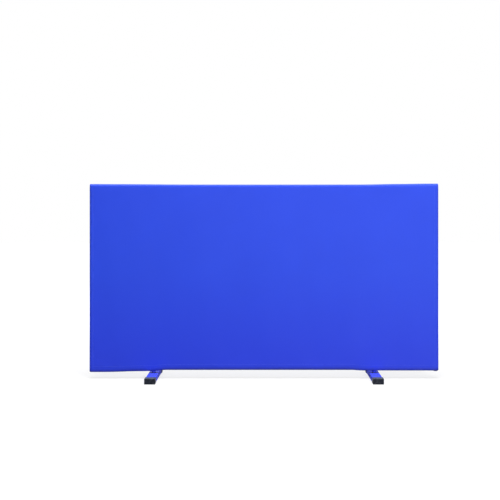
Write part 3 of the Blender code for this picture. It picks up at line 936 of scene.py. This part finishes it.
@dataclass
class ClothCover:
    """The sleeve: one cloth folded over the top rail, and sewn up the middle of each end.

    It is a stack of rounded oblongs. Their half depth grows from the crown's radius to the hem's,
    and at the hem the cloth turns under and runs up inside. The hem hangs lower outside the feet
    than between them, but clear of their caps as they turn. The seams lift the fold a little off
    the rail at both ends.
    """

    finishes: Finishes
    # Rows of a place along the barrier and the hem's height or the fold's lift there.
    hem_line_mm: tuple[tuple[float, float], ...] = (
        (-700, 25.8),
        (-640, 25.8),
        (-494, 29.2),
        (-455, 29.7),
        (-385, 34.7),
        (-100, 35.1),
        (330, 35.6),
        (398, 31.8),
        (700, 31.7),
    )
    crown_lift_mm: tuple[tuple[float, float], ...] = (
        (-700, 2.2),
        (-600, 2.0),
        (-260, 0.2),
        (0, 0),
        (380, 0.2),
        (540, 2.4),
        (650, 3.8),
        (700, 3.8),
    )
    thickness: float = 0.7 * MM
    corner_radius: float = 8.35 * MM
    crown_ease: float = 2 * MM
    roll_radius: float = 3.2 * MM
    roll_inner_radius: float = 0.8 * MM
    flap_gap: float = 1.1 * MM
    flap_ease: float = 9 * MM
    end_roll: float = 1.45 * MM
    hem_turn_up: float = 25 * MM
    hem_shade_height: float = 6 * MM
    pucker_reach: float = 16 * MM
    hem_stitch_height: float = 22 * MM
    side_line_inset: float = 15.5 * MM
    side_line_depth: float = 0.5 * MM
    side_line_width: float = 2.2 * MM
    slow_wave: float = 0.5 * MM
    slow_wave_length: float = 310 * MM
    slow_wave_phase: float = 0.6
    quick_wave: float = 0.25 * MM
    quick_wave_length: float = 117 * MM
    quick_wave_lean: float = 900 * MM
    corner_pull: float = 0.6 * MM
    corner_pull_reach: float = 60 * MM
    corner_pull_length: float = 24 * MM
    fade_height: float = 50 * MM
    stitch_pitch: float = 3.8 * MM
    stitch_length: float = 2.9 * MM
    stitch_radius: float = 0.36 * MM
    stitch_rings: int = 5
    stitch_sides: int = 5
    seam_radius: float = 0.8 * MM
    seam_taper_share: float = 0.025
    seam_rings: int = 90
    seam_sides: int = 10
    end_columns: int = 6
    corner_columns: int = 5
    edge_columns: int = 24
    middle_columns: int = 124
    edge_share: float = 0.04
    crown_rows: int = 10
    face_rows: int = 70
    roll_rows: int = 8
    inner_rows: int = 5
    flap_rows: int = 12

    def __post_init__(self) -> None:
        """Reads the sleeve's sizes from the frame, as the middle of the cloth's thickness."""
        half = self.thickness / 2
        left_end, right_end = Extent.of("cover_left_end"), Extent.of("cover_right_end")
        self.rail_height = Extent.of("top_rail").centre[2]
        self.crown_radius = Extent.of("cover_top_fold").size[1] / 2 - half
        self.half_length = right_end.high[0] - half
        self.hem_depth = left_end.size[1] / 2 - half
        self.lowest = left_end.low[2]

    def hem(self, x: np.ndarray) -> np.ndarray:
        """The height of the cover's lower edge along the barrier."""
        return eased_line(x, np.array(self.hem_line_mm) * MM)

    def depth(self, z: np.ndarray) -> np.ndarray:
        """The half depth of the sleeve at a height: straight from the crown's to the hem's."""
        share = (self.rail_height - z) / (self.rail_height - self.lowest)
        return self.crown_radius + (self.hem_depth - self.crown_radius) * share

    def relief(self, x: np.ndarray, z: np.ndarray) -> np.ndarray:
        """How far the cloth stands out of its plane.

        It is the sum of a slow wave, a leaning quicker one, the pulls at the two lower corners and
        a line pressed in beside each end, and it fades out at the crown and at the hem.

        Args:
            x: places along the barrier
            z: heights

        Returns:
            The distance outwards at each.
        """
        above = z - self.hem(x)
        inside = self.half_length - np.abs(x)
        slow = self.slow_wave * np.sin(math.tau * x / self.slow_wave_length + self.slow_wave_phase)
        lean = x / self.quick_wave_length + z / self.quick_wave_lean
        quick = self.quick_wave * np.sin(math.tau * lean)
        near = np.exp(-(inside**2 + above**2) / self.corner_pull_reach**2)
        folds = np.sin(math.tau * (inside - above) / self.corner_pull_length)
        pull = self.corner_pull * near * folds
        off_line = (inside - self.side_line_inset) / self.side_line_width
        line = -self.side_line_depth * np.exp(-(off_line**2))
        fade = eased(above / self.fade_height) * eased((self.rail_height - z) / self.fade_height)
        return (slow + quick + pull + line) * fade

    def columns(self) -> tuple[np.ndarray, ...]:
        """The unit loop that every oblong is made of: straight runs joined by quarter circles.

        Returns:
            Four factors a point: of the straight half length, of the corner radius along the
            barrier, of the straight half depth, and of the corner radius across it.
        """
        end = np.linspace(0, 1, self.end_columns, endpoint=False)
        angle = np.linspace(0, math.pi / 2, self.corner_columns, endpoint=False)
        inner = 1 - self.edge_share
        near_left = np.linspace(-1, -inner, self.edge_columns, endpoint=False)
        middle = np.linspace(-inner, inner, self.middle_columns, endpoint=False)
        near_right = np.linspace(inner, 1, self.edge_columns)
        run = np.concatenate([near_left, middle, near_right])
        ones, none = np.ones_like, np.zeros_like
        straight = np.array([-ones(end), -ones(end), -end, none(end)])
        corner = np.array([-ones(angle), -np.cos(angle), -ones(angle), -np.sin(angle)])
        left = np.concatenate([straight, corner], axis=1)
        face = np.array([run, none(run), -ones(run), -ones(run)])
        right = left[:, ::-1] * np.array([[-1], [-1], [1], [1]])
        front = np.concatenate([left, face, right], axis=1)
        back = front[:, ::-1][:, 1:-1] * np.array([[1], [1], [-1], [-1]])
        return tuple(np.concatenate([front, back], axis=1))

    def hem_path(self) -> tuple[np.ndarray, np.ndarray]:
        """The hem's section: rolled under, turned up with a small radius and eased back out.

        The roll is a quarter circle, the turn a smaller one, and the flap above eases from where
        the turn ends to close behind the face.

        Returns:
            How far in from the face each point lies, and how high above the hem's lowest line.
        """
        big, small = self.roll_radius, self.roll_inner_radius
        rolled = np.linspace(0, math.pi / 2, self.roll_rows + 1)[1:]
        turned = np.linspace(math.pi / 2, math.pi, self.inner_rows + 1)[1:]
        up = np.linspace(small, self.hem_turn_up, self.flap_rows + 1)[1:]
        back = eased((up - small) / self.flap_ease)
        flap = big + small - (big + small - self.flap_gap) * back
        inward = [big * (1 - np.cos(rolled)), big - small * np.cos(turned), flap]
        height = [big * (1 - np.sin(rolled)), small * (1 - np.sin(turned)), up]
        return np.concatenate(inward), np.concatenate(height)

    def rows(self, x: np.ndarray) -> tuple[np.ndarray, np.ndarray, np.ndarray]:
        """The path from the crown down the face, round the hem and up inside, at each x.

        The crown is a quarter circle, and the ends are drawn in there with its sine's fourth power.

        Args:
            x: places along the barrier

        Returns:
            Each point's height, its half depth, and how far the ends are drawn in there.
        """
        rise = np.linspace(math.pi / 2, 0, self.crown_rows, endpoint=False)[:, None]
        lowest = self.hem(x) + self.thickness / 2
        roll_top = lowest + self.roll_radius
        share = np.linspace(0, 1, self.face_rows + 1)[:, None]
        inward, above = (a[:, None] for a in self.hem_path())
        top = self.crown_radius + eased_line(x, np.array(self.crown_lift_mm) * MM)
        crown_z = self.rail_height + top * np.sin(rise)
        face_z = self.rail_height + (roll_top - self.rail_height) * share
        hem_z = lowest + above
        height = np.concatenate([crown_z, face_z, hem_z])
        crown_depth = self.crown_radius * np.cos(rise) * np.ones_like(x)
        depth = np.concatenate([crown_depth, self.depth(face_z), self.depth(hem_z) - inward])
        drawn_in = np.zeros_like(height)
        drawn_in[: self.crown_rows] = self.crown_ease * np.sin(rise) ** 4
        drawn_in[-len(inward) :] = np.minimum(inward, self.end_roll)
        return height, depth, drawn_in

    def points(self) -> np.ndarray:
        """Sets the unit loop out at every row, to that row's height, depth and length.

        Returns:
            Rows by columns by 3.
        """
        straight_x, round_x, straight_y, round_y = self.columns()
        x_rest = straight_x * (self.half_length - self.corner_radius) + round_x * self.corner_radius
        z, depth, drawn_in = self.rows(x_rest)
        corner = np.minimum(self.corner_radius, depth)
        x = straight_x * (self.half_length - drawn_in - corner) + round_x * corner
        out = np.zeros_like(z)
        outer = slice(0, self.crown_rows + self.face_rows + 1)
        out[outer] = self.relief(x_rest, z[outer])
        y = straight_y * (depth - corner) + round_y * (corner + out)
        return np.stack([x, y, z], axis=-1)

    def mark_seams(self, mesh: Mesh) -> None:
        """Writes how near the hem's seam, a side seam and the hem's foot are, each from 0 to 1.

        Each falls off as a bell curve with the distance. The third sets the painted shade at the
        hem's foot.

        Args:
            mesh: the sleeve's mesh
        """
        place = np.empty(3 * len(mesh.vertices), dtype=np.float32)
        mesh.vertices.foreach_get("co", place)
        x, _, z = place.reshape(-1, 3).T
        above = z - self.hem(x)
        hem_seam = (above - self.hem_stitch_height) / self.pucker_reach
        side_seam = (self.half_length - self.side_line_inset - np.abs(x)) / self.pucker_reach
        # How near the hem's foot is, which sets where its painted shade lies.
        foot = above / self.hem_shade_height
        marks = np.exp(-(np.stack([hem_seam, side_seam, foot], axis=-1) ** 2))
        layer = mesh.attributes.new(SEAM_AND_SHADE_MARKS, "FLOAT_VECTOR", "POINT")
        layer.data.foreach_set("vector", marks.astype(np.float32).ravel())

    def cloth_metres(self, points: np.ndarray) -> tuple[np.ndarray, np.ndarray]:
        """Distances along the cloth, which its weave follows.

        Args:
            points: the sleeve's points

        Returns:
            The distances round the hem's loop, back to its start, and down the front's middle.
        """
        hem_row = points[self.crown_rows + self.face_rows]
        loop = np.linalg.norm(np.roll(hem_row, -1, 0) - hem_row, axis=1)
        middle = points[:, points.shape[1] // 4]
        down = np.linalg.norm(np.diff(middle, axis=0), axis=1)
        return tuple(np.concatenate([[0], np.cumsum(steps)]) for steps in (loop, down))

    def build(self) -> None:
        """Adds the sleeve with its cloth's thickness, its stitching and its end seams."""
        points = self.points()
        metres = self.cloth_metres(points)
        mesh = grid_mesh("cover_sleeve", points, metres=metres)
        self.mark_seams(mesh)
        sleeve = add_piece("cover_sleeve", mesh, "cover", self.finishes.cloth)
        wall = sleeve.modifiers.new("Cloth", "SOLIDIFY")
        wall.thickness = self.thickness
        wall.offset = 0
        faces = ("front_panel", "back_panel", "top_fold", "left_end", "right_end")
        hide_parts(*(f"cover_{face}" for face in faces))
        going = [self.add_stitching(), *(self.add_seam(side) for side in Side)]

    def add_seam(self, side: Side) -> Object:
        """The seam up the middle of an end: a cord of cloth that tapers away at both its ends.

        In a taper its radius grows with the root of the distance from the seam's end.

        Args:
            side: the end of the barrier

        Returns:
            The seam.
        """
        name = f"cover_{side.word}_end_seam"
        x = side.value * (self.half_length + self.thickness / 2)
        foot = self.hem(np.array([x]))[0]
        top = self.rail_height + self.crown_radius - self.crown_ease
        z = np.linspace(foot, top, self.seam_rings)
        path = np.stack([np.full_like(z, x), np.zeros_like(z), z], axis=-1)
        share = (z - foot) / (top - foot)
        taper = np.sqrt(np.minimum(share, 1 - share) / self.seam_taper_share)
        radius = self.seam_radius * np.minimum(1, taper)
        path[:, 0] -= side.value * radius / 2
        outward = np.broadcast_to([side.value, 0.0, 0.0], path.shape)
        mesh = grid_mesh(name, tube_points(path, radius, outward, self.seam_sides, closed=False))
        return add_piece(name, mesh, "cover", self.finishes.thread)

    def add_stitching(self) -> Object:
        """Rows of stitches along both hems and beside each end, front and back.

        Returns:
            The stitching, all one piece.
        """
        inner = self.half_length - self.side_line_inset
        along = np.arange(-inner, inner, self.stitch_pitch)
        up = np.arange(self.lowest, self.rail_height - self.crown_radius, self.stitch_pitch)
        lines = [(along, self.hem(along) + self.hem_stitch_height, (1.0, 0.0, 0.0))]
        for side in Side:
            x = np.full_like(up, side.value * inner)
            above = up > self.hem(x) + self.hem_stitch_height
            lines.append((x[above], up[above], (0.0, 0.0, 1.0)))
        centres, runs = [], []
        for x, z, run in lines:
            out = self.depth(z) + self.relief(x, z) + self.thickness / 2
            for facing in (-1, 1):
                centres.append(np.stack([x, facing * out, z], axis=-1))
                runs.append(np.broadcast_to(run, centres[-1].shape))
        mesh = self.stitch_mesh(np.concatenate(centres), np.concatenate(runs))
        return add_piece("cover_stitching", mesh, "cover", self.finishes.thread)

    def stitch_mesh(self, centres: np.ndarray, runs: np.ndarray) -> Mesh:
        """Spindles of thread, half sunk in the cloth: each is one grid, set at every centre.

        A spindle's radius is the root of 1 less the fourth power of the way to its end.

        Args:
            centres: where each stitch lies
            runs: the way that each runs

        Returns:
            The mesh of them all.
        """
        rings, sides = self.stitch_rings, self.stitch_sides
        share = np.linspace(-1, 1, rings)[:, None]
        angle = full_turn(sides)[None, :]
        radius = self.stitch_radius * np.sqrt(1 - share**4)
        lengthways = np.broadcast_to(share * self.stitch_length / 2, (rings, sides))
        out = np.broadcast_to([0.0, 1.0, 0.0], runs.shape)
        across = np.cross(runs, out)
        points = centres[:, None, None] + lengthways[None, ..., None] * runs[:, None, None]
        points = points + (radius * np.cos(angle))[None, ..., None] * across[:, None, None]
        points = points + (radius * np.sin(angle))[None, ..., None] * out[:, None, None]
        quads = grid_quads(rings, sides)
        every = quads[None] + (np.arange(len(centres)) * rings * sides)[:, None, None]
        mesh = bpy.data.meshes.new("cover_stitching")
        mesh.from_pydata(points.reshape(-1, 3), [], every.reshape(-1, 4))
        return close_and_turn_out(mesh)


@dataclass(frozen=True)
class Lamp:
    """A square soft lamp that isn't seen: its side is in metres and its power in watts."""

    name: str
    place: tuple[float, float, float]
    aim: tuple[float, float, float]
    size: float
    power: float

    def add(self) -> None:
        """Hangs the lamp in its place and turns it to its aim."""
        data = bpy.data.lights.new(self.name, "AREA")
        data.size = self.size
        data.energy = self.power
        lamp = bpy.data.objects.new(self.name, data)
        lamp.location = self.place
        towards = Vector(self.aim) - Vector(self.place)
        lamp.rotation_euler = towards.to_track_quat("-Z", "Y").to_euler()
        lamp.visible_camera = False
        bpy.context.scene.collection.objects.link(lamp)


@dataclass
class Studio:
    """A pale floor and backdrop, soft lamps, and the camera of the photograph."""

    camera_place: tuple[float, float, float] = (-0.006, -4.05, 0.697)
    lens: float = 72.58
    sensor_width: float = 36.0
    shift: tuple[float, float] = (-0.025, -0.091)
    floor_half: float = 14.0
    floor_drop: float = 0.2 * MM
    floor_colour: str = "#808080"
    floor_lift: float = 0.69
    lift_starts: float = 0.8
    lift_ends: float = 2.2
    ambient: float = 0.25
    lamps: tuple[Lamp, ...] = (
        Lamp("key_lamp", place=(1.8, -4.0, 1.4), aim=(0.2, 0, 0.5), size=1.2, power=116.0),
        Lamp("top_lamp", place=(0, -0.7, 4.2), aim=(0, 0, 0), size=2.6, power=290.0),
        Lamp("back_lamp", place=(-1.6, 3.6, 2.4), aim=(0, 0, 0.4), size=2.4, power=60.0),
    )

    def build(self) -> None:
        """Sets the stage."""
        bpy.context.scene.view_settings.view_transform = "Standard"
        self.add_camera()
        self.add_floor()
        self.make_world()
        for lamp in self.lamps:
            lamp.add()

    def add_camera(self) -> None:
        """A level camera, with the shift that frames the barrier as the photograph does."""
        data = bpy.data.cameras.new("camera")
        data.lens = self.lens
        data.sensor_width = self.sensor_width
        data.shift_x, data.shift_y = self.shift
        camera = bpy.data.objects.new("camera", data)
        camera.location = self.camera_place
        camera.rotation_euler = (math.pi / 2, 0, 0)
        bpy.context.scene.collection.objects.link(camera)
        bpy.context.scene.camera = camera

    def add_floor(self) -> None:
        """A floor that is lifted to white where it is seen, and still takes shadows.

        Its glow grows with the distance from a part to the whole of white, so that the floor's
        end meets the world without a line.
        """
        half = self.floor_half
        corners = [(-half, -half), (half, -half), (half, half), (-half, half)]
        mesh = bpy.data.meshes.new("floor")
        mesh.from_pydata([(x, y, -self.floor_drop) for x, y in corners], [], [(0, 1, 2, 3)])
        floor = bpy.data.objects.new("floor", mesh)
        bpy.context.scene.collection.objects.link(floor)
        material = bpy.data.materials.new("matt_studio_paper")
        material.use_nodes = True
        tree = material.node_tree
        tree.nodes.remove(tree.nodes["Principled BSDF"])
        paint = add_node(tree, "BsdfDiffuse", {"Color": to_linear(self.floor_colour)})
        place = add_node(tree, "TexCoord", out="Object")
        away = add_node(tree, "VectorMath", {0: place}, "Value", operation="LENGTH")
        inputs = {"Value": away, "From Min": self.lift_starts, "From Max": self.lift_ends}
        inputs["To Min"] = self.floor_lift
        far = add_node(tree, "MapRange", inputs, interpolation_type="SMOOTHSTEP")
        lift = add_node(tree, "Math", {0: self.seen(tree), 1: far}, operation="MULTIPLY")
        glow = add_node(tree, "Emission", {"Color": WHITE, "Strength": lift})
        both = add_node(tree, "AddShader", {0: paint, 1: glow})
        tree.links.new(both, tree.nodes["Material Output"].inputs["Surface"])
        mesh.materials.append(material)

    @staticmethod
    def seen(tree: NodeTree) -> NodeSocket:
        """Tells the rays that are seen from those that only light the barrier.

        Args:
            tree: the nodes of a material or a world

        Returns:
            1 for rays that reach the camera straight, off a gloss or through glass, and else 0.
        """
        either = add_node(tree, "LightPath", out="Is Camera Ray")
        path = either.node.outputs
        for ray in ("Is Glossy Ray", "Is Transmission Ray"):
            either = add_node(tree, "Math", {0: either, 1: path[ray]}, operation="MAXIMUM")
        return either

    def make_world(self) -> None:
        """A world that is white where it is seen, and lights the barrier at a lower level."""
        world = bpy.data.worlds.new("backdrop")
        bpy.context.scene.world = world
        world.use_nodes = True
        tree = world.node_tree
        tree.nodes.remove(tree.nodes["Background"])
        dim = add_node(tree, "Background", {"Color": WHITE, "Strength": self.ambient})
        white = add_node(tree, "Background", {"Color": WHITE, "Strength": 1})
        shown = add_node(tree, "MixShader", {0: self.seen(tree), 1: dim, 2: white})
        tree.links.new(shown, tree.nodes["World Output"].inputs["Surface"])


# How far each wing nut was left turned, in degrees from square across the rail.
NUT_TURNS = {Side.LEFT: 18.0, Side.RIGHT: 0.0}


def main() -> None:
    """Builds the barrier's pieces and the studio."""
    logging.basicConfig(level=logging.INFO, format="%(name)s: %(message)s")
    finishes = Finishes.make()
    TubeFrame(finishes).build()
    for side, turn in NUT_TURNS.items():
        Foot(side, finishes).build()
        WingNut(side, finishes, turn_degrees=turn).build()
    ClothCover(finishes).build()
    Studio().build()


if __name__ == "__main__":
    main()
